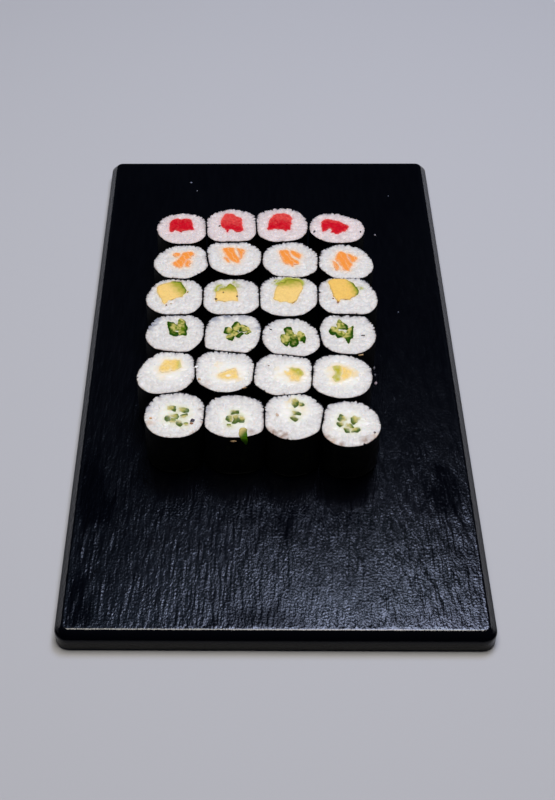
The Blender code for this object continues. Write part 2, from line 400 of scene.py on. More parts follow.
FOOD_BITS = [
    Crumb("3_1", -4.2, -6.4, 0.1, (0.9, 0.7, 0.3), 30, RUST),
    Crumb("3_1", -2, -5.4, 0.1, (0.8, 0.6, 0.3), 0, BEIGE),
    Crumb("3_1", 5.6, 3.4, 0.1, (1, 0.8, 0.3), 60, (206, 190, 110)),
    Crumb("3_4", -6.6, -2, 0.1, (0.8, 0.8, 0.3), 0, RUST),
    Crumb("3_4", -4.4, -4.6, 0.1, (1.1, 0.9, 0.3), 40, RUST),
    Crumb("4_4", 5.4, -14.6, -0.5, (2.6, 0.9, 0.6), 12, BEIGE),
    Crumb("5_2", -11.2, -6.2, 0, (1.5, 1, 0.4), -40, BEIGE),
    Crumb("5_2", 8.3, -11.6, -0.5, (3.4, 1, 0.6), 18, (212, 172, 130)),
    Crumb("5_3", -6.8, 5.2, 0.1, (0.9, 0.6, 0.3), 0, (150, 132, 120)),
    Crumb("6_1", 7.2, -5.6, 0.1, (1.3, 0.9, 0.4), 0, RUST),
    Crumb("6_1", -10.5, -2.6, 0.1, (1.1, 0.9, 0.4), 0, (226, 168, 110)),
    Crumb("6_2", -0.6, -13.6, -1.8, (2.6, 0.8, 0.6), -4, BEIGE),
    Crumb("6_3", -7, 0.2, 0.1, (1.1, 1.9, 0.3), 10, (214, 184, 158)),
]
LOOSE_RICE = [
    Crumb("5_2", -12.6, 1.7, 0.1, (1.8, 1.3, 0.8), 40, (250, 248, 246)),
    # These three grains on the side of roll 5_4 are rice coloured grey: painted shade, as they lie in shadow
    # on the nori just below its top.
    Crumb("5_4", 15.2, 5.2, -0.3, (1, 1.6, 1.2), 0, (92, 90, 98)),
    Crumb("5_4", 15.3, 0.8, -0.3, (0.8, 1.1, 0.9), 0, (84, 84, 94)),
    Crumb("5_4", 15.2, -4.8, -0.3, (1.2, 2.2, 1.4), 0, (176, 156, 166)),
    Crumb("board", -43, 140.5, 0.3, (1.1, 1, 0.5), 0, (120, 124, 140)),
    Crumb("board", -39.5, 133, 0.2, (0.7, 0.8, 0.4), 0, (110, 112, 126)),
    Crumb("board", 65, 128, 0.2, (0.8, 0.8, 0.4), 0, (90, 96, 112)),
    Crumb("board", 55.5, 93.5, 0.2, (0.9, 1.1, 0.5), 20, (140, 136, 146)),
    Crumb("board", 63, 31.5, 0.2, (0.7, 0.8, 0.4), 0, (96, 100, 116)),
]

# The kinds of crumb: the slot, the crumbs and the seed of their lumps.
CRUMB_KINDS = {
    "nori_bits": ("nori", NORI_BITS, 9),
    "food_bits": ("avocado", FOOD_BITS, 9),
    "loose_rice": ("rice", LOOSE_RICE, 10),
}

# The sliver of cucumber on roll 6_2, from its end on the rice to its tip: y, z, and its left and right side.
SLIVER = [
    (-7.6, 0, 2.4, 4.6), (-8.6, 0.2, 1.7, 5.2), (-10.6, 0.25, 1.5, 5.1), (-12.4, 0.2, 1.8, 5.2),
    (-13.4, -0.6, 2.4, 5.3), (-13.6, -1.6, 2.9, 5.4), (-13.5, -3.6, 4.3, 5.2),
]
SLIVER_THICKNESS = 0.7
SLIVER_STEPS = 8
SLIVER_RING = 16
SLIVER_PALE = srgb(206, 186, 118)
SLIVER_GREEN = srgb(58, 98, 4)


def value_noise(x, y, seed):
    """Smooth noise from -1 to 1 with cells of size 1."""
    table = np.random.default_rng(seed).uniform(-1, 1, (256, 256))
    column, row = np.floor(x).astype(int), np.floor(y).astype(int)
    across, along = x - column, y - row
    across, along = across * across * (3 - 2 * across), along * along * (3 - 2 * along)

    def corner(i, j):
        return table[(column + i) % 256, (row + j) % 256]

    near = corner(0, 0) * (1 - across) + corner(1, 0) * across
    far = corner(0, 1) * (1 - across) + corner(1, 1) * across
    return near * (1 - along) + far * along


def noise_at(points, scale, seed, shift=0):
    """Smooth noise at points of a plane, which are scaled and then shifted."""
    x, y = (points * scale + shift).T
    return value_noise(x, y, seed)


def line_noise(x, seed):
    """Smooth noise along a line."""
    return value_noise(x, np.zeros_like(x), seed)


def smooth_step(low, high, value):
    """Rises smoothly from 0 at the low value to 1 at the high one."""
    share = np.clip((value - low) / (high - low), 0, 1)
    return share * share * (3 - 2 * share)


def fade(low, high, value):
    """Falls smoothly from 1 at the low value to 0 at the high one."""
    return 1 - smooth_step(low, high, value)


def full_circle(steps):
    """Evenly spaced angles round a full turn."""
    return np.linspace(0, FULL_TURN, steps, endpoint=False)


def mix(a, b, share):
    """Colours between two others, with a share for each point that is kept from 0 to 1."""
    return a + (b - a) * np.clip(share, 0, 1)[:, None]


def between(a, b, share):
    """Numbers between two others."""
    return a + (b - a) * share


def cubic(values, position):
    """Reads a closed series of values at fractional positions along a smooth curve."""
    base = np.floor(position).astype(int)
    t = position - base
    count = len(values)
    p0, p1, p2, p3 = (values[(base + shift) % count] for shift in (-1, 0, 1, 2))
    return p1 + 0.5 * t * (p2 - p0 + t * (2 * p0 - 5 * p1 + 4 * p2 - p3 + t * (3 * (p1 - p2) + p3 - p0)))


def box_middle(ring):
    """The middle of the box round a ring of points, seen from above."""
    return (ring[:, :2].min(0) + ring[:, :2].max(0)) / 2


class Drum:
    """The form of a CAD roll: at each of its sections the height, the middle and the radius by angle."""

    def __init__(self, node):
        points = np.array([v.co for v in node.data.vertices]) / MM
        points = np.unique(points.round(3), axis=0)
        points = points[points[:, 2].argsort()]
        rings = np.split(points, np.flatnonzero(np.diff(points[:, 2]) > LEVEL_GAP) + 1)[:SECTIONS]
        self.heights = np.array([ring[:, 2].mean() for ring in rings])
        self.top = self.heights[-1] + RIM_DROP
        face = points[points[:, 2] > self.heights[-1] + 2 * LEVEL_GAP, :2]
        rim_middle = box_middle(rings[-1])
        self.middle = face[np.hypot(*(face - rim_middle).T).argmin()]
        self.middles = np.array([self.middle + box_middle(ring) - rim_middle for ring in rings])
        self.radii = [self.read_radii(ring[:, :2] - middle) for ring, middle in zip(rings, self.middles)]

    def read_radii(self, ring):
        """The radius of a ring at evenly spaced angles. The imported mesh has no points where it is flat."""
        angles = np.arctan2(ring[:, 1], ring[:, 0]) % FULL_TURN
        order = angles.argsort()
        steps = np.arange(SECTION_STEPS) * FULL_TURN / SECTION_STEPS
        return np.interp(steps, angles[order], np.hypot(*ring.T)[order], period=FULL_TURN)

    def middle_at(self, height):
        return np.array([np.interp(height, self.heights, m) for m in self.middles.T])

    def section(self, height, angles, inset):
        """The points of the section at a height, at these angles, drawn in by an inset."""
        position = angles / FULL_TURN * SECTION_STEPS
        found = np.array([cubic(radii, position) for radii in self.radii])
        radius = np.array([np.interp(height, self.heights, r) for r in found.T]) - inset
        return self.middle_at(height) + np.stack((radius * np.cos(angles), radius * np.sin(angles)), 1)

    def lower(self, points, height, inset):
        """Where points of the cut face come out at a lower height, as the roll may lean."""
        away = points - self.middle
        angles = np.arctan2(away[:, 1], away[:, 0]) % FULL_TURN
        outer = self.section(self.heights[-1], angles, 0.0) - self.middle
        share = np.hypot(*away.T) / np.hypot(*outer.T)
        middle = self.middle_at(height)
        found = middle + (self.section(height, angles, inset) - middle) * share[:, None]
        return np.column_stack((found, np.full(len(found), height)))


def new_object(name, bm, tints, material, sharp_angle=60):
    """A piece in metres from a mesh in millimetres, with a colour for each of its points."""
    bmesh.ops.recalc_face_normals(bm, faces=bm.faces)
    bmesh.ops.scale(bm, vec=(MM, MM, MM), verts=bm.verts)
    mesh = bpy.data.meshes.new(name)
    bm.to_mesh(mesh)
    bm.free()
    colours = np.ones((len(tints), 4), np.float32)
    colours[:, :3] = tints
    mesh.attributes.new("tint", "FLOAT_COLOR", "POINT").data.foreach_set("color", colours.ravel())
    mesh.shade_smooth()
    mesh.set_sharp_from_angle(angle=math.radians(sharp_angle))
    mesh.materials.append(material)
    obj = bpy.data.objects.new(name, mesh)
    bpy.context.scene.collection.objects.link(obj)
    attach(obj, "root")
    return obj


def inside(points, outline):
    """Which points lie within a closed outline."""
    result = np.zeros(len(points), bool)
    x, y = points.T
    for (ax, ay), (bx, by) in zip(outline, np.roll(outline, -1, axis=0)):
        crosses = (ay > y) != (by > y)
        if crosses.any():
            result ^= crosses & (x < ax + (y - ay) * (bx - ax) / (by - ay + 1e-12))
    return result


def distance_to(points, outline):
    """How far each point is from the nearest point of an outline."""
    return np.sqrt(((points[:, None] - outline[None]) ** 2).sum(2).min(1))


def radii_from(local, x, y, radius):
    """How far each point is from the middle of a patch, in radii of the patch."""
    return np.hypot(local[:, 0] - x, local[:, 1] - y) / radius


def straight(values, position):
    """Reads a closed series of values at fractional positions along straight lines."""
    return np.interp(position, np.arange(len(values) + 1), np.append(values, values[0]))


def rounded(region, middle, seed):
    """A region's outline as a closed curve with soft corners, grown a little and slightly ragged."""
    corners = region.outline
    softness = SOFTNESS[region.slot]
    lengths = np.hypot(*(np.roll(corners, -1, axis=0) - corners).T)
    counts = np.maximum((lengths / FACE_SPACING).round(), 1).astype(int)
    positions = np.concatenate([k + np.arange(n) / n for k, n in enumerate(counts)])
    curve = [between(straight(axis, positions), cubic(axis, positions), softness) for axis in corners.T]
    curve = np.stack(curve, 1)
    along = np.roll(curve, -1, axis=0) - np.roll(curve, 1, axis=0)
    area = (curve[:, 0] * along[:, 1] - curve[:, 1] * along[:, 0]).sum()
    outward = np.stack((along[:, 1], -along[:, 0]), 1) * np.sign(area)
    outward = outward / (np.hypot(*along.T)[:, None] + 1e-9)
    ragged = np.stack([noise_at(curve, 1.4, seed), noise_at(curve, 1.4, seed + 1)], 1)
    return middle + curve + GROWTH[region.slot] * outward + 0.2 * ragged


def cheese_outline(key, middle, seed):
    """The wavy outline of the smear of cheese."""
    x, y, half_width, half_depth = CHEESES[key]
    angles = full_circle(CHEESE_STEPS)
    circle = np.stack((np.cos(angles), np.sin(angles)), 1)
    wave = 1 + 0.13 * noise_at(circle, 2.2, seed, 9)
    wave += 0.12 * noise_at(circle, 6, seed + 1, 9)
    curve = np.stack((half_width * wave * circle[:, 0], half_depth * wave * circle[:, 1]), 1)
    return middle + (x, y) + curve


def rice_outline(drum, seed):
    """The edge of the rice on the cut face: smooth in front, and notched behind by bent bits of nori."""
    rng = np.random.default_rng(seed)
    angles = full_circle(RICE_EDGE_STEPS)
    back = smooth_step(-0.5, 0.5, np.sin(angles))
    ragged = line_noise(angles * 16, seed) + 0.8 * line_noise(angles * 37, seed + 1)
    lumps = 0.14 * (1 + line_noise(angles * 5, seed + 2)) * (1 - back)
    inset = RICE_INSET + (0.04 + 0.18 * back) * (1 + ragged) + lumps
    for _ in range(NOTCHES):
        at_back = rng.random() < NOTCHES_AT_BACK
        at = math.radians(rng.uniform(*BACK_ARC)) if at_back else rng.uniform(0, FULL_TURN)
        width = math.radians(rng.uniform(*NOTCH_WIDTHS))
        apart = np.abs((angles - at + math.pi) % FULL_TURN - math.pi)
        inset = np.maximum(inset, rng.uniform(*NOTCH_DEPTHS) * (1 - apart / width))
    return drum.section(drum.heights[-1], angles, inset)


def face_mesh(outlines, spacing):
    """Points and triangles that fill the first outline and follow all the others."""
    edge = outlines[0]
    low, high = edge.min(0), edge.max(0)
    rows = np.arange(low[1], high[1], spacing * math.sqrt(3) / 2)
    grid = [
        (x, y)
        for k, y in enumerate(rows)
        for x in np.arange(low[0] + (k % 2) * spacing / 2, high[0], spacing)
    ]
    grid = np.array(grid)
    lines = np.concatenate(outlines)
    grid = grid[inside(grid, edge)]
    grid = grid[distance_to(grid, lines) > 0.55 * spacing]
    points = [Vector(p) for p in np.concatenate((lines, grid))]
    edges = []
    start = 0
    for outline in outlines:
        count = len(outline)
        edges += [(start + k, start + (k + 1) % count) for k in range(count)]
        start += count
    found, _, faces = delaunay_2d_cdt(points, edges, [], 0, 1e-6, False)[:3]
    found = np.array([tuple(p) for p in found])
    faces = np.array(faces)
    return found, faces[inside(found[faces].mean(1), edge)]


def add_solid(bm, points, faces, tops, waist, feet):
    """Adds the closed solid from triangles at their heights down to the same outline at the foot."""
    used = np.unique(faces)
    upper = {k: bm.verts.new((*points[k], tops[k])) for k in used}
    count = {}
    for a, b, c in faces:
        bm.faces.new((upper[a], upper[b], upper[c]))
        for pair in ((a, b), (b, c), (c, a)):
            key = (min(pair), max(pair))
            count[key] = count.get(key, 0) + 1
    rim = [key for key, n in count.items() if n == 1]
    order = list(upper)
    above = upper
    for level in (waist, feet):
        below = {k: bm.verts.new(level[k]) for k in sorted({k for key in rim for k in key})}
        order += list(below)
        for a, b in rim:
            bm.faces.new((above[a], above[b], below[b], below[a]))
        above = below
    foot_edges = [bm.edges.get((above[a], above[b])) for a, b in rim]
    bmesh.ops.triangle_fill(bm, use_beauty=False, use_dissolve=False, edges=foot_edges)
    return order


Grains = namedtuple("Grains", "middles headings half_lengths half_widths tops cuts tones")


def scatter_grains(low, high, rng):
    """Grains lying at random over a cut face, packed about as close as they are in it."""
    places = [
        (x + rng.uniform(-GRAIN_STRAY, GRAIN_STRAY), y + rng.uniform(-GRAIN_STRAY, GRAIN_STRAY))
        for x in np.arange(low[0], high[0], GRAIN_SPACING)
        for y in np.arange(low[1], high[1], GRAIN_SPACING)
    ]
    n = len(places)
    return Grains(
        np.array(places),
        rng.uniform(0, math.pi, n),
        rng.uniform(*GRAIN_HALF_LENGTHS, n),
        rng.uniform(*GRAIN_HALF_WIDTHS, n),
        rng.uniform(*GRAIN_TOPS, n),
        rng.uniform(*GRAIN_CUTS, n),
        rng.uniform(0, 1, n),
    )


def rice_relief(points, grains):
    """The height of the rice at each point, with the high grains sliced flat by the knife, and the tone."""
    away = points[:, None] - grains.middles[None]
    cos, sin = np.cos(grains.headings), np.sin(grains.headings)
    along = (away[..., 0] * cos + away[..., 1] * sin) / grains.half_lengths
    across = (away[..., 1] * cos - away[..., 0] * sin) / grains.half_widths
    dome = np.sqrt(np.clip(1 - along**2 - across**2, 0, 1))
    sliced = np.minimum(grains.tops - GRAIN_DROP * (1 - dome), grains.cuts)
    heights = np.where(dome > 0, sliced, GRAIN_FLOOR)
    return np.maximum(heights.max(1), GRAIN_FLOOR), grains.tones[heights.argmax(1)]


# The stain that a filling leaves on the rice around it: its colour, its strength and how far it spreads.
STAIN_BY_SLOT = {
    "tuna": (TUNA_LIGHT, 0.55, 0.6),
    "salmon": (SALMON_FAT, 0.95, 0.9),
    "avocado": (AVOCADO, 0.45, 0.6),
    "cucumber": (FLESH, 0.35, 0.5),
}
MASHED_STAIN = (AVOCADO_GREEN, 0.45, 0.6)


# What colours a filling: its region and roll, and for each point of its cut face the place, how far it lies
# towards the region's side in millimetres and as a share, coarse and fine noise, and how far the edge is.
Cut = namedtuple("Cut", "region key local towards share mottle fine edge_distance seed")


def tuna_tints(cut):
    """Red flesh that is streaky and finely grained, and paler towards one side and at its edge."""
    x, y = cut.local.T
    start = cut.region.start
    streak = value_noise(x * 0.5 + y * 1.2, y * 0.3, cut.seed)
    grain = noise_at(cut.local, (1.3, 1.6), cut.seed + 2, (40, 0))
    marbling = noise_at(cut.local, (1.7, 1.1), cut.seed + 3, (80, 0))
    light = smooth_step(start - 0.5, start + 0.9, cut.share) * 0.55
    edge = 0.5 * fade(0.0, 0.9, cut.edge_distance + 0.2 * cut.fine)
    pale = light + 0.15 * streak + 0.1 * cut.fine + 0.25 * marbling + edge
    return mix(TUNA, TUNA_LIGHT, pale) * (1 + 0.16 * grain[:, None])


def salmon_tints(cut):
    """Orange flesh with pale stripes of fat across it."""
    stripe = np.abs(np.sin(cut.towards * 1.15 + 0.6 * cut.mottle))
    fat = fade(0.0, 0.3, stripe) * 0.7
    tint = mix(SALMON, SALMON_FAT, fat + 0.1 * cut.fine)
    return mix(tint, RICE, fade(0.0, 0.8, cut.edge_distance) * 0.35)


def avocado_tints(cut):
    """Yellow flesh that turns green towards one side, with a dark rind there or smeared with cheese."""
    start, share, fine, mottle = cut.region.start, cut.share, cut.fine, cut.mottle
    edge = fade(0.0, 0.7, cut.edge_distance + 0.15 * fine)
    if is_mashed(cut.region):
        return mix(mix(MUSH, AVOCADO_GREEN, 0.4 + 0.6 * fine), RICE, 0.5 * edge)
    yellow, green = YELLOWS.get(cut.key, AVOCADO), AVOCADO_GREEN
    if cut.key in CHEESES:
        yellow, green = AVOCADO_SMEARED, AVOCADO_SMEARED_GREEN
    ripe = smooth_step(start - 0.4, start + 0.45, share)
    tint = mix(yellow * (1 + 0.06 * fine[:, None]), green, ripe)
    if cut.key not in CHEESES:
        rind = fade(0.2, 1.5, cut.edge_distance + 0.3 * fine) * (1.0 if cut.region.side < 60 else 0.35)
        tint = mix(tint, AVOCADO_SKIN, rind * ripe * smooth_step(0.3, 0.9, share))
        return mix(tint, AVOCADO_EDGE, edge * (1 - ripe) * 0.35) * (1 + 0.05 * mottle[:, None])
    smear = fade(0.0, 1.3, cut.edge_distance + 0.3 * fine)
    tint = mix(tint * (1 + 0.08 * fine[:, None]), CHEESE, 0.02 + 0.3 * smear + 0.15 * mottle)
    if cut.key in PALE_GAPS:
        x, y, radius = PALE_GAPS[cut.key]
        apart = np.hypot((cut.local[:, 0] - x) * 0.6, cut.local[:, 1] - y) / radius
        tint = mix(tint, CHEESE, 0.75 * fade(0.4, 1.1, apart + 0.2 * fine))
    return tint


def cucumber_tints(cut):
    """Wet flesh with green veins and dark skin on one side, paler and softer in the cheese."""
    start, share, fine, mottle = cut.region.start, cut.share, cut.fine, cut.mottle
    in_cheese = cut.key in CHEESES
    green = smooth_step(start - 0.3, start + 0.3, share)
    green = green * (1 - 0.45 * smooth_step(0.6, 1.6, cut.edge_distance + 0.3 * fine))
    edge = fade(0.0, 0.8, cut.edge_distance + 0.2 * fine)
    wet = noise_at(cut.local, 1.1, cut.seed + 2, 30)
    veins = 0.6 * smooth_step(0.0, 0.5, wet) * np.exp(-cut.edge_distance / 1.5)
    outline = 0.75 * edge * smooth_step(-0.5, 0.4, share + mottle)
    if in_cheese:
        pale = FLESH_PALE
        greenness = 0.4 + 0.3 * mottle + 0.3 * wet + 0.6 * share
        dark = np.clip(green + 0.45 * veins + 0.2 * outline, 0, 1) * 0.8
    else:
        pale = FLESH
        greenness = 0.42 + 0.4 * mottle + 0.7 * wet + 0.3 * share + 0.3 * edge
        dark = 0.09 + green + veins + outline
    tint = mix(mix(pale, FLESH_GREEN, greenness), SKIN, dark) * (1 + 0.1 * fine[:, None])
    if in_cheese:
        pale_edge = 0.45 * edge * fade(-0.4, 0.3, share)
        tint = mix(tint, CHEESE, 0.02 + pale_edge + 0.15 * mottle)
    return tint


TINTS_BY_SLOT = {
    "tuna": tuna_tints,
    "salmon": salmon_tints,
    "avocado": avocado_tints,
    "cucumber": cucumber_tints,
}


def region_tints(region, key, local, edge_distance, seed):
    """The colour of a filling at each point of its cut face."""
    heading = math.radians(region.side)
    towards = local @ np.array((math.cos(heading), math.sin(heading)))
    middle, reach = (towards.max() + towards.min()) / 2, (towards.max() - towards.min()) / 2
    mottle = noise_at(local, 0.8, seed)
    fine = noise_at(local, 2.2, seed + 1)
    share = (towards - middle) / reach + 0.15 * mottle
    cut = Cut(region, key, local, towards, share, mottle, fine, edge_distance, seed)
    return TINTS_BY_SLOT[region.slot](cut)


def rice_tints(key, drum, points, tones, rim_distance, regions, seed):
    """White grains, with painted shade at the rim next to the nori that is grey behind and pinkish brown in
    front, stained next to the filling and in soaked patches, and with patches of painted grey shade at the
    rims.
    """
    local = points - drum.middle
    mottle = noise_at(local, 0.55, seed)
    fine = noise_at(local, 1.3, seed + 4)
    tint = mix(RICE, RICE_SHADE, 0.3 + 0.25 * (tones - 0.5) + 0.15 * mottle + 0.35 * fine)
    tint = tint * ROW_CASTS.get(key[0], 1.0)
    back = 0.5 + 0.5 * np.clip(local[:, 1] / 10, -1, 1)
    angles = np.arctan2(local[:, 1], local[:, 0])
    strokes = value_noise(angles * 16 + 60, rim_distance * 0.6, seed + 1)
    # Painted shade: the rice turns grey towards the nori, most behind, and pinkish brown at the front rim.
    rim = np.exp(-rim_distance / (0.35 + 0.65 * back)) * (0.3 + 0.45 * back)
    tint = mix(tint, RICE_RIM_PAINTED_SHADE, rim * (1 + 0.9 * strokes))
    front = (0.65 + 0.35 * strokes) * (1 - back) * np.exp(-rim_distance / 0.45)
    tint = mix(tint, RICE_FRONT_PAINTED_SHADE, front)
    thin = smooth_step(0.35, 0.8, value_noise(angles * 26 + 200, rim_distance * 0.5, seed + 5))
    tint = mix(tint, RICE_STROKE, 0.75 * thin * back * np.exp(-rim_distance / 0.8))
    for region, outline in regions:
        colour, strength, spread = MASHED_STAIN if is_mashed(region) else STAIN_BY_SLOT[region.slot]
        near = np.exp(-distance_to(points, outline) / (spread * (1 + 0.3 * mottle)))
        tint = mix(tint, colour, strength * near)
    # The grey patches are painted shade at the rims; the others are stains.
    for x, y, radius, colour, strength in RICE_STAINS_AND_PAINTED_SHADE.get(key, ()):
        patch = np.clip(1.3 - radii_from(local, x, y, radius) + 0.5 * mottle, 0, 1)
        tint = mix(tint, colour, patch * strength)
    return tint


def smeared(tints, key, points, regions, local, seed):
    """The cheese with the fillings smeared into it by the knife."""
    uneven = 1 + 0.6 * noise_at(local, 0.7, seed)
    for region, outline in regions:
        colour, strength = (MUSH, 0.3) if region.slot == "cucumber" else (AVOCADO, 0.6)
        near = np.exp(-distance_to(points, outline) / (0.9 * uneven))
        tints = mix(tints, colour, strength * near)
    for x, y, radius, strength in YELLOW_SMEARS.get(key, ()):
        apart = radii_from(local, x, y, radius * uneven)
        tints = mix(tints, AVOCADO, strength * np.exp(-apart * apart))
    return tints


class RollInside:
    """The rice, the filling and the cheese of a roll, which all run through it from cut face to foot."""

    def __init__(self, key, drum, seed, materials):
        self.key = key
        self.drum = drum
        self.seed = seed
        self.materials = materials
        self.rng = np.random.default_rng(seed)
        edge = rice_outline(drum, seed)
        self.regions = [(r, rounded(r, drum.middle, seed + 10 + k)) for k, r in enumerate(FILLINGS[key])]
        outlines = [edge] + [outline for _, outline in self.regions]
        if key in CHEESES:
            outlines.append(cheese_outline(key, drum.middle, seed + 5))
        self.points, self.faces = face_mesh(outlines, FACE_SPACING)
        centres = self.points[self.faces].mean(1)
        self.owner = np.zeros(len(self.faces), int)
        for k in range(len(outlines) - 1, 0, -1):
            self.owner[inside(centres, outlines[k])] = k
        self.outlines = outlines
        self.relief, tones = rice_relief(self.points, scatter_grains(edge.min(0), edge.max(0), self.rng))
        rim_distance = distance_to(self.points, edge)
        self.local = self.points - drum.middle
        self.waist = drum.lower(self.points, drum.top - RIM_HEIGHT, INSIDE_GAP)
        self.feet = drum.lower(self.points, FOOT_Z, INSIDE_GAP)
        rounding = 0.15 * np.clip(1 - rim_distance / 0.8, 0, 1) ** 2
        self.wave = noise_at(self.local, 0.25, seed + 3)
        self.rice_tops = drum.top + GRAIN_RELIEF * self.relief - rounding + 0.12 * self.wave
        self.rice_tops = np.minimum(self.rice_tops, HIGHEST)
        self.rice_tints = rice_tints(key, drum, self.points, tones, rim_distance, self.regions, seed + 2)
        if key in CHEESES:
            near = np.exp(-distance_to(self.points, outlines[-1]) / 1.6)
            self.rice_tints = mix(self.rice_tints, CHEESE, 0.5 * near)

    def make_piece(self, name, groups, slot, sharp_angle):
        """One piece from groups of triangles, each with its owner's number, its heights and its colours."""
        bm = bmesh.new()
        tints = []
        for group, tops, colours in groups:
            faces = self.faces[self.owner == group]
            order = add_solid(bm, self.points, faces, tops, self.waist, self.feet)
            tints.append(colours[order])
        return new_object(name, bm, np.concatenate(tints), self.materials[slot], sharp_angle)

    def make_rice(self):
        return self.make_piece(f"rice_{self.key}", [(0, self.rice_tops, self.rice_tints)], "rice", 60)

    def make_filling(self):
        groups = []
        for k, (region, outline) in enumerate(self.regions, start=1):
            own = np.unique(self.faces[self.owner == k])
            if len(own) == 0:
                continue
            edge_distance = distance_to(self.points, outline)
            seed = self.seed + 20 + k
            tints = np.zeros((len(self.points), 3))
            tints[own] = region_tints(region, self.key, self.local[own], edge_distance[own], seed)
            bumps = noise_at(self.local, 0.9, self.seed + 40 + k)
            lift = self.rng.uniform(*FILLING_LIFTS)
            dome = 0.15 * (1 - np.exp(-edge_distance / 0.6))
            groups.append((k, np.minimum(self.drum.top + lift + dome + 0.1 * bumps, HIGHEST), tints))
        self.make_piece(f"filling_{self.key}", groups, self.regions[0][0].slot, 50)

    def make_cheese(self):
        """Cheese a little above the cut face, which runs out into the rice at its edge."""
        smear = 0.12 * noise_at(self.local, (0.5, 0.9), self.seed + 7)
        tops = np.minimum(self.drum.top + 0.2 * GRAIN_RELIEF * self.relief + smear, HIGHEST)
        to_rice = np.exp(-distance_to(self.points, self.outlines[-1]) / 1.3)
        tops = between(tops, self.rice_tops, to_rice)
        white = np.tile(CHEESE, (len(self.points), 1)) * (1 + 0.03 * self.wave[:, None])
        tints = mix(white, self.rice_tints, to_rice)
        tints = smeared(tints, self.key, self.points, self.regions, self.local, self.seed + 8)
        self.make_piece(f"cheese_{self.key}", [(len(self.outlines) - 1, tops, tints)], "cream_cheese", 60)


def make_roll_inside(key, node_name, drum, seed, materials):
    roll = RollInside(key, drum, seed, materials)
    rice = roll.make_rice()
    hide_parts(node_name)
    roll.make_filling()
    if key in CHEESES:
        roll.make_cheese()


def add_band(bm, lower, upper):
    """A band of quads from one loop of points to the next."""
    for k in range(len(lower)):
        after = (k + 1) % len(lower)
        bm.faces.new((lower[k], lower[after], upper[after], upper[k]))


def make_nori(key, drum, seed, material):
    """A thin sheet round the roll, pressed out by the grains and wrinkled, with an uneven cut edge."""
    angles = full_circle(NORI_STEPS)
    around = angles * MEAN_RADIUS
    back = smooth_step(-0.3, 0.6, np.sin(angles))
    jag = 0.28 * np.abs(line_noise(around * 0.9, seed)) * (0.35 + back)
    jag += 0.12 * line_noise(around * 2.1, seed + 1) * back
    rim = drum.top - NORI_DROP
    shares = np.linspace(0, 1, NORI_ROWS)
    heights = FOOT_Z + (rim - FOOT_Z) * shares
    bm = bmesh.new()
    loops, tints = [], []

    def add_loop(z, inset, lift):
        points = drum.section(z, angles, inset)
        loops.append([bm.verts.new((*p, z + dz)) for p, dz in zip(points, lift)])

    for share, z in zip(shares, heights):
        places = np.column_stack((around, np.full_like(around, z)))
        press = 0.10 * (1 + noise_at(places, 0.36, seed + 2))
        crease = 0.09 * np.abs(noise_at(places, (0.9, 0.35), seed + 3))
        hem = 0.0 if 0 < share < 1 else 0.05
        calm = fade(rim - RIM_HEIGHT, rim, z)
        add_loop(z, (press + crease + hem) * calm + 0.02, -jag * smooth_step(0.9, 1.0, share))
        green = smooth_step(0.45, 0.9, noise_at(places, 0.8, seed + 4))[:, None]
        tints.append(NORI_DARK * (1 - green) + NORI_GREEN * green)
    add_loop(heights[-1], NORI_THICKNESS + 0.02, -jag)
    add_loop(heights[0], NORI_THICKNESS + 0.2, 0 * jag)
    tints.append(np.tile(NORI_DARK, (2 * NORI_STEPS, 1)))
    for lower, upper in zip(loops, loops[1:] + loops[:1]):
        add_band(bm, lower, upper)
    new_object(f"nori_{key}", bm, np.concatenate(tints), material)


# The board: its plan, its edge and the embossed streaks on its top.
BOARD_HALF = (88.0, 162.5)
BOARD_CORNER = 6.0
BEVEL = 3.2
ARC_REACH = 0.6
ARC_STEPS = 6
TOP_INSET = BEVEL + ARC_REACH
FOOT_CHAMFER = 1.2
STREAK_STEPS = (505, 150)
CORNER_ROWS = 6
STREAK_RELIEF = 0.08
EMBOSSED = 1.0
EDGE_GLOSS = 1.7

# Duller and shinier patches of the embossed top: the middle, the half sizes and the change in gloss.
GLOSS_PATCHES = [
    (-77, -92, 10, 26, -1.1),
    (-82, -146, 8, 14, -0.8),
    (6, -108, 6, 10, -1),
    (76, -88, 10, 15, -1.2),
    (-42, -118, 34, 36, 0.3),
    (-4, -157, 28, 9, -0.6),
]


def board_profile():
    """The edge from the top's outline to the underside, as pairs of an inset from the side and a height."""
    bend = math.radians(45)
    radius = ARC_REACH / math.tan(bend / 2)
    shoulder = BOARD_TOP - BEVEL - ARC_REACH
    upper, lower = [], []
    for k in range(1, ARC_STEPS + 1):
        across = radius * math.sin(bend * k / ARC_STEPS)
        down = radius * (1 - math.cos(bend * k / ARC_STEPS))
        upper.append((TOP_INSET - across, BOARD_TOP - down))
        lower.append((down, shoulder + across))
    return upper + lower[::-1] + [(0.0, shoulder), (0.0, FOOT_CHAMFER), (FOOT_CHAMFER, 0.0)]


def board_relief(x, y):
    """Streaks that run along Y, wander a little and start and end."""
    bent = x + 0.9 * value_noise(x / 14, y / 16, 51) + 0.35 * value_noise(x / 4, y / 7, 52)
    streaks = value_noise(bent / 0.65, y / 3.6, 53) + 0.7 * value_noise(bent / 1.3, y / 7, 54)
    patches = 0.8 + 0.5 * value_noise(x / 11, y / 15, 55)
    pits = 0.5 * value_noise(x / 1.1, y / 4.0, 56)
    return STREAK_RELIEF * (streaks * patches + pits)


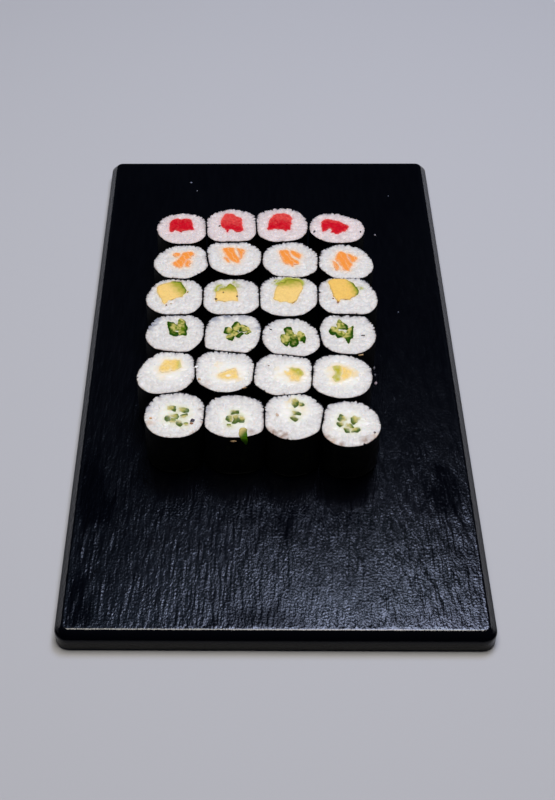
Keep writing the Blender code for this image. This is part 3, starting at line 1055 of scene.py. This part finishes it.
def board_gloss(x, y, edge):
    """How well the embossed top mirrors the light, uneven from wear and along its streaks."""
    bent = x + 0.9 * value_noise(x / 14, y / 16, 51)
    gloss = 1 + 0.25 * value_noise(x / 19, y / 25, 57) + 0.35 * value_noise(bent / 1.4, y / 8, 58)
    ragged = 0.4 * value_noise(x / 9, y / 12, 59) + 0.3 * value_noise(bent / 2.5, y / 9, 60)
    for middle_x, middle_y, half_x, half_y, change in GLOSS_PATCHES:
        apart = np.hypot((x - middle_x) / half_x, (y - middle_y) / half_y) + ragged
        gloss += change * fade(0.6, 1.1, apart)
    return np.where(edge > 0.8, EMBOSSED * np.clip(gloss, 0, None), EDGE_GLOSS)


def board_plan():
    """The places of the top's points, row by row, and how far each is from the top's edge."""
    half = np.array(BOARD_HALF) - TOP_INSET
    corner = BOARD_CORNER - TOP_INSET
    columns, rows = STREAK_STEPS
    turn = np.sin(np.linspace(0, math.pi / 2, CORNER_ROWS + 1)[1:]) * corner
    v = np.linspace(-1, 1, rows - 2 * CORNER_ROWS) * (half[1] - corner)
    v = np.concatenate((-half[1] + corner - turn[::-1], v, half[1] - corner + turn))
    past = np.clip(np.abs(v) - (half[1] - corner), 0, corner)
    width = half[0] - corner + np.sqrt(np.clip(corner**2 - past**2, 0, None))
    x = np.linspace(-1, 1, columns)[None] * width[:, None]
    y = np.repeat(v[:, None], columns, axis=1)
    return x, y, np.minimum(width[:, None] - np.abs(x), half[1] - np.abs(y))


def outward_from(corner, place):
    """The direction out of the board at a place on its top's edge, given the middle of a corner."""
    nearest = [max(-limit, min(limit, at)) for limit, at in zip(corner, place)]
    return (place - Vector(nearest)).normalized()


def make_board(material):
    """The embossed top as a grid of points, and the bevel and the sides as loops round it."""
    x, y, edge = board_plan()
    columns, rows = STREAK_STEPS
    z = BOARD_TOP + board_relief(x, y) * smooth_step(0.0, 1.5, edge)
    bm = bmesh.new()
    grid = [[bm.verts.new((x[i, j], y[i, j], z[i, j])) for j in range(columns)] for i in range(rows)]
    for below, above in zip(grid, grid[1:]):
        for j in range(columns - 1):
            bm.faces.new((below[j], below[j + 1], above[j + 1], above[j]))
    loop = grid[0] + [row[-1] for row in grid[1:]] + grid[-1][-2::-1] + [row[0] for row in grid[-2:0:-1]]
    corner = np.array(BOARD_HALF) - TOP_INSET - (BOARD_CORNER - TOP_INSET)
    places = [Vector(vert.co.xy) for vert in loop]
    outward = [outward_from(corner, place) for place in places]
    above = loop
    for inset, height in board_profile():
        reach = TOP_INSET - inset
        below = [bm.verts.new((*(p + n * reach), height)) for p, n in zip(places, outward)]
        add_band(bm, below, above)
        above = below
    bm.faces.new(reversed(above))
    gloss = np.zeros(len(bm.verts))
    gloss[: rows * columns] = board_gloss(x, y, edge).ravel()
    gloss[rows * columns :][: ARC_STEPS * len(loop)] = EDGE_GLOSS
    tints = np.repeat(gloss[:, None], 3, axis=1)
    board = new_object("embossed_board", bm, tints, material)
    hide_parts("board")


class Nodes:
    """Builds one material's nodes."""

    def __init__(self, name):
        self.material = bpy.data.materials.new(name)
        self.material.use_nodes = True
        self.tree = self.material.node_tree
        self.shader = self.tree.nodes["Principled BSDF"]

    def add(self, output, kind, inputs=(), **settings):
        """Adds a node and gives its output of this name."""
        node = self.tree.nodes.new(kind)
        for key, value in settings.items():
            setattr(node, key, value)
        for key, value in dict(inputs).items():
            self.set(node, key, value)
        return node.outputs[output]

    def set(self, node, key, value):
        if isinstance(value, bpy.types.NodeSocket):
            self.tree.links.new(value, node.inputs[key])
        else:
            node.inputs[key].default_value = value

    def tint(self):
        return self.add("Color", "ShaderNodeAttribute", attribute_name="tint", attribute_type="GEOMETRY")

    def noise(self, scale, detail=3.0, stretch=(1, 1, 1)):
        place = self.add("Object", "ShaderNodeTexCoord")
        moved = self.add("Vector", "ShaderNodeMapping", {"Vector": place, "Scale": stretch})
        return self.add("Fac", "ShaderNodeTexNoise", {"Vector": moved, "Scale": scale, "Detail": detail})

    def ramp(self, value, low, high):
        """Noise mapped onto a range of numbers."""
        inputs = {"Value": value, "From Min": 0.3, "From Max": 0.7, "To Min": low, "To Max": high}
        return self.add("Result", "ShaderNodeMapRange", inputs)

    def times(self, colour, factor):
        """A colour made brighter or darker by a factor."""
        return self.add("Vector", "ShaderNodeVectorMath", {0: colour, 1: factor}, operation="MULTIPLY")

    def bump(self, height, distance):
        inputs = {"Height": height, "Distance": distance, "Strength": 1.0}
        return self.add("Normal", "ShaderNodeBump", inputs)

    def finish(self, **inputs):
        for key, value in inputs.items():
            self.set(self.shader, key.replace("_", " "), value)
        return self.material


# How each food looks: its roughness, how much light scatters in it, the strength of its fine mottling, the
# depth of its bumps in metres and its specular level.
FOOD_LOOKS = {
    "crumbs": (0.35, 0.1, 0.1, 0.00005, 0.4),
    "rice": (0.42, 0.25, 0.05, 0.00008, 0.5),
    "tuna": (0.3, 0.1, 0.08, 0.00006, 0.08),
    "salmon": (0.35, 0.15, 0.05, 0.00005, 0.15),
    "avocado": (0.4, 0.15, 0.04, 0.00005, 0.2),
    "cucumber": (0.35, 0.05, 0.1, 0.00005, 0.04),
    "cream_cheese": (0.35, 0.2, 0.01, 0.00003, 0.5),
}


def food_material(name, roughness, scatter, speckle, bump, specular):
    """Moist food: its colour from the mesh, mottled finely, with light scattering under the surface."""
    nodes = Nodes(name)
    mottling = nodes.ramp(nodes.noise(1400, 4), 1 - speckle, 1 + speckle)
    return nodes.finish(
        Base_Color=nodes.times(nodes.tint(), mottling),
        Roughness=roughness,
        Specular_IOR_Level=specular,
        Subsurface_Weight=scatter,
        Subsurface_Scale=0.001,
        Subsurface_Radius=(1.0, 0.7, 0.5),
        Normal=nodes.bump(nodes.noise(900, 3), bump),
    )


def nori_material():
    """Dry, finely wrinkled seaweed."""
    nodes = Nodes("nori")
    wrinkles = nodes.noise(420, 5, (1, 1, 0.6))
    return nodes.finish(
        Base_Color=nodes.times(nodes.tint(), nodes.ramp(nodes.noise(700), 0.6, 1.4)),
        Roughness=nodes.ramp(wrinkles, 0.38, 0.6),
        Specular_IOR_Level=0.08,
        Normal=nodes.bump(wrinkles, 0.0002),
    )


def board_material():
    """Black melamine with fine streaks, as glossy as the mesh's tint says."""
    nodes = Nodes("black_melamine")
    gloss = {"Value": nodes.tint(), "To Min": 0.12, "To Max": 0.5}
    streaks, grain = nodes.noise(1050, 2, (1, 0.28, 1)), nodes.noise(1300, 2, (1, 0.7, 1))
    relief = nodes.add("Value", "ShaderNodeMath", {0: streaks, 1: grain}, operation="ADD")
    return nodes.finish(
        Base_Color=(0.0003, 0.0005, 0.0017, 1.0),
        Roughness=0.16,
        Specular_IOR_Level=nodes.add("Result", "ShaderNodeMapRange", gloss, clamp=False),
        Normal=nodes.bump(relief, 0.0001),
    )


def make_materials():
    materials = {"nori": nori_material(), "black_melamine": board_material()}
    for name, look in FOOD_LOOKS.items():
        materials[name] = food_material(name, *look)
    return materials


def flake(bm, middle, size, heading, upright, rng):
    """Adds one lumpy crumb, lying flat or pressed against a wall in front."""
    found = bmesh.ops.create_icosphere(bm, subdivisions=2, radius=0.5)["verts"]
    lumps = 1 + 0.22 * rng.standard_normal(len(found))
    turn = Matrix.Rotation(math.radians(heading), 3, "Z")
    if upright:
        turn = Matrix.Rotation(math.radians(90), 3, "X") @ turn
    for vert, lump in zip(found, np.clip(lumps, 0.6, 1.4)):
        scaled = Vector([a * b for a, b in zip(vert.co * lump, size)])
        vert.co = turn @ scaled + middle
    return len(found)


def make_crumbs(name, crumbs, seed, drums, material):
    """All the crumbs of one kind as one mesh."""
    rng = np.random.default_rng(seed)
    bm = bmesh.new()
    tints = []
    for crumb in crumbs:
        if crumb.place == "board":
            middle = Vector((crumb.x, crumb.y, BOARD_TOP + crumb.z))
        else:
            drum = drums[crumb.place]
            middle = Vector((*(drum.middle + (crumb.x, crumb.y)), drum.top + crumb.z))
        count = flake(bm, middle, crumb.size, crumb.heading, crumb.z < HANGING, rng)
        tints.append(np.tile(srgb(*crumb.colour), (count, 1)))
    new_object(name, bm, np.concatenate(tints), material)


def make_sliver(drum, material):
    """A stray sliver of cucumber that lies over the front rim and hangs down the side."""
    path = np.array(SLIVER)
    steps = np.linspace(0, len(path) - 1, SLIVER_STEPS * len(path))
    y, z, left, right = (np.interp(steps, np.arange(len(path)), column) for column in path.T)
    forward = np.stack((np.gradient(y), np.gradient(z)), 1)
    forward /= np.hypot(*forward.T)[:, None]
    bm = bmesh.new()
    tints, loops = [], []
    around = full_circle(SLIVER_RING)
    for k in range(len(steps)):
        x = (left[k] + right[k]) / 2 + (right[k] - left[k]) / 2 * np.cos(around)
        x += 0.1 * np.sin(3 * around + k / 3)
        lift = SLIVER_THICKNESS / 2 * np.sin(around)
        loop = np.stack((x, y[k] - forward[k, 1] * lift, z[k] + forward[k, 0] * lift), 1)
        loop += (*drum.middle, drum.top)
        loops.append([bm.verts.new(tuple(p)) for p in loop])
        green = smooth_step(0.22, 0.55, 0.75 * k / len(steps) + 0.14 * (1 + np.cos(around)))
        tints.append(mix(np.tile(SLIVER_PALE, (SLIVER_RING, 1)), SLIVER_GREEN, green))
    for lower, upper in zip(loops, loops[1:]):
        add_band(bm, lower, upper)
    bm.faces.new(reversed(loops[0]))
    bm.faces.new(loops[-1])
    new_object("cucumber_sliver", bm, np.concatenate(tints), material)


# The camera: its lens and sensor in millimetres, its sideways shift, its place in metres, and its turn, its
# tilt down and its roll in degrees.
LENS = 60.345
SENSOR_WIDTH = 36.0
SHIFT = 0.0521
CAMERA_PLACE = (-0.0098, -0.4718, 0.4455)
CAMERA_TURN = 0.91
CAMERA_TILT = 44.61
CAMERA_ROLL = -0.56


def make_camera():
    """The photo's view, with its picture plane shifted sideways as the crop has it."""
    data = bpy.data.cameras.new("camera")
    data.sensor_width = SENSOR_WIDTH
    data.lens = LENS
    data.shift_x = SHIFT
    data.clip_start = 0.01
    camera = bpy.data.objects.new("camera", data)
    turn = Matrix.Rotation(math.radians(CAMERA_TURN), 4, "Z")
    tilt = Matrix.Rotation(math.radians(90 - CAMERA_TILT), 4, "X")
    roll = Matrix.Rotation(math.radians(CAMERA_ROLL), 4, "Z")
    camera.matrix_world = Matrix.Translation(CAMERA_PLACE) @ turn @ tilt @ roll
    bpy.context.scene.collection.objects.link(camera)
    bpy.context.scene.camera = camera


# The lights: azimuth and elevation in degrees, distance and size in metres, power and colour.
PANELS = {
    "top_panel": (180, 88, 1.3, (0.8, 0.7), 12.2, (1.0, 0.96, 0.89)),
    "back_panel": (30, 69, 1.3, (0.5, 0.4), 6.8, (0.62, 0.7, 0.98)),
    "left_panel": (-12, 66, 1.3, (0.7, 0.35), 0.35, (0.4, 0.6, 1.0)),
}
FLOOR_COLOUR = (0.52, 0.52, 0.54, 1.0)
FLOOR_REACH = 4.0
SKY_COLOUR = (0.6, 0.72, 1.0, 1.0)
SKY_STRENGTH = 0.02


def add_panel(name, azimuth, elevation, distance, size, power, colour):
    """A soft rectangular light aimed at the middle of the platter."""
    data = bpy.data.lights.new(name, "AREA")
    data.shape = "RECTANGLE"
    data.size, data.size_y = size
    data.energy = power
    data.color = colour
    panel = bpy.data.objects.new(name, data)
    across, up = math.radians(azimuth), math.radians(elevation)
    towards = Vector((math.sin(across) * math.cos(up), math.cos(across) * math.cos(up), math.sin(up)))
    panel.location = towards * distance
    panel.rotation_euler = towards.to_track_quat("Z", "Y").to_euler()
    bpy.context.scene.collection.objects.link(panel)


def make_studio():
    """A pale floor, a large soft light above, smaller bluish ones behind, and a dim even sky."""
    bm = bmesh.new()
    bmesh.ops.create_grid(bm, x_segments=1, y_segments=1, size=FLOOR_REACH)
    mesh = bpy.data.meshes.new("floor")
    bm.to_mesh(mesh)
    bm.free()
    floor = bpy.data.objects.new("floor", mesh)
    nodes = Nodes("floor")
    mesh.materials.append(nodes.finish(Base_Color=FLOOR_COLOUR, Roughness=0.8))
    bpy.context.scene.collection.objects.link(floor)
    world = bpy.data.worlds.new("sky")
    world.use_nodes = True
    background = world.node_tree.nodes["Background"]
    background.inputs["Color"].default_value = SKY_COLOUR
    background.inputs["Strength"].default_value = SKY_STRENGTH
    bpy.context.scene.world = world
    for name, values in PANELS.items():
        add_panel(name, *values)
    bpy.context.scene.view_settings.view_transform = "Standard"


def main():
    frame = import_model()
    materials = make_materials()
    make_board(materials["black_melamine"])
    names = sorted(name for name in frame["nodes"] if name.startswith("roll_"))
    drums = {}
    for number, name in enumerate(names):
        key = "_".join(name.split("_")[1:3])
        drum = Drum(frame["nodes"][name])
        drums[key] = drum
        seed = 1000 * (number + 1)
        make_nori(key, drum, seed, materials["nori"])
        make_roll_inside(key, name, drum, seed + 100, materials)
    for name, (slot, crumbs, seed) in CRUMB_KINDS.items():
        make_crumbs(name, crumbs, seed, drums, materials["crumbs"])
    make_sliver(drums["6_2"], materials["cucumber"])
    make_camera()
    make_studio()


main()
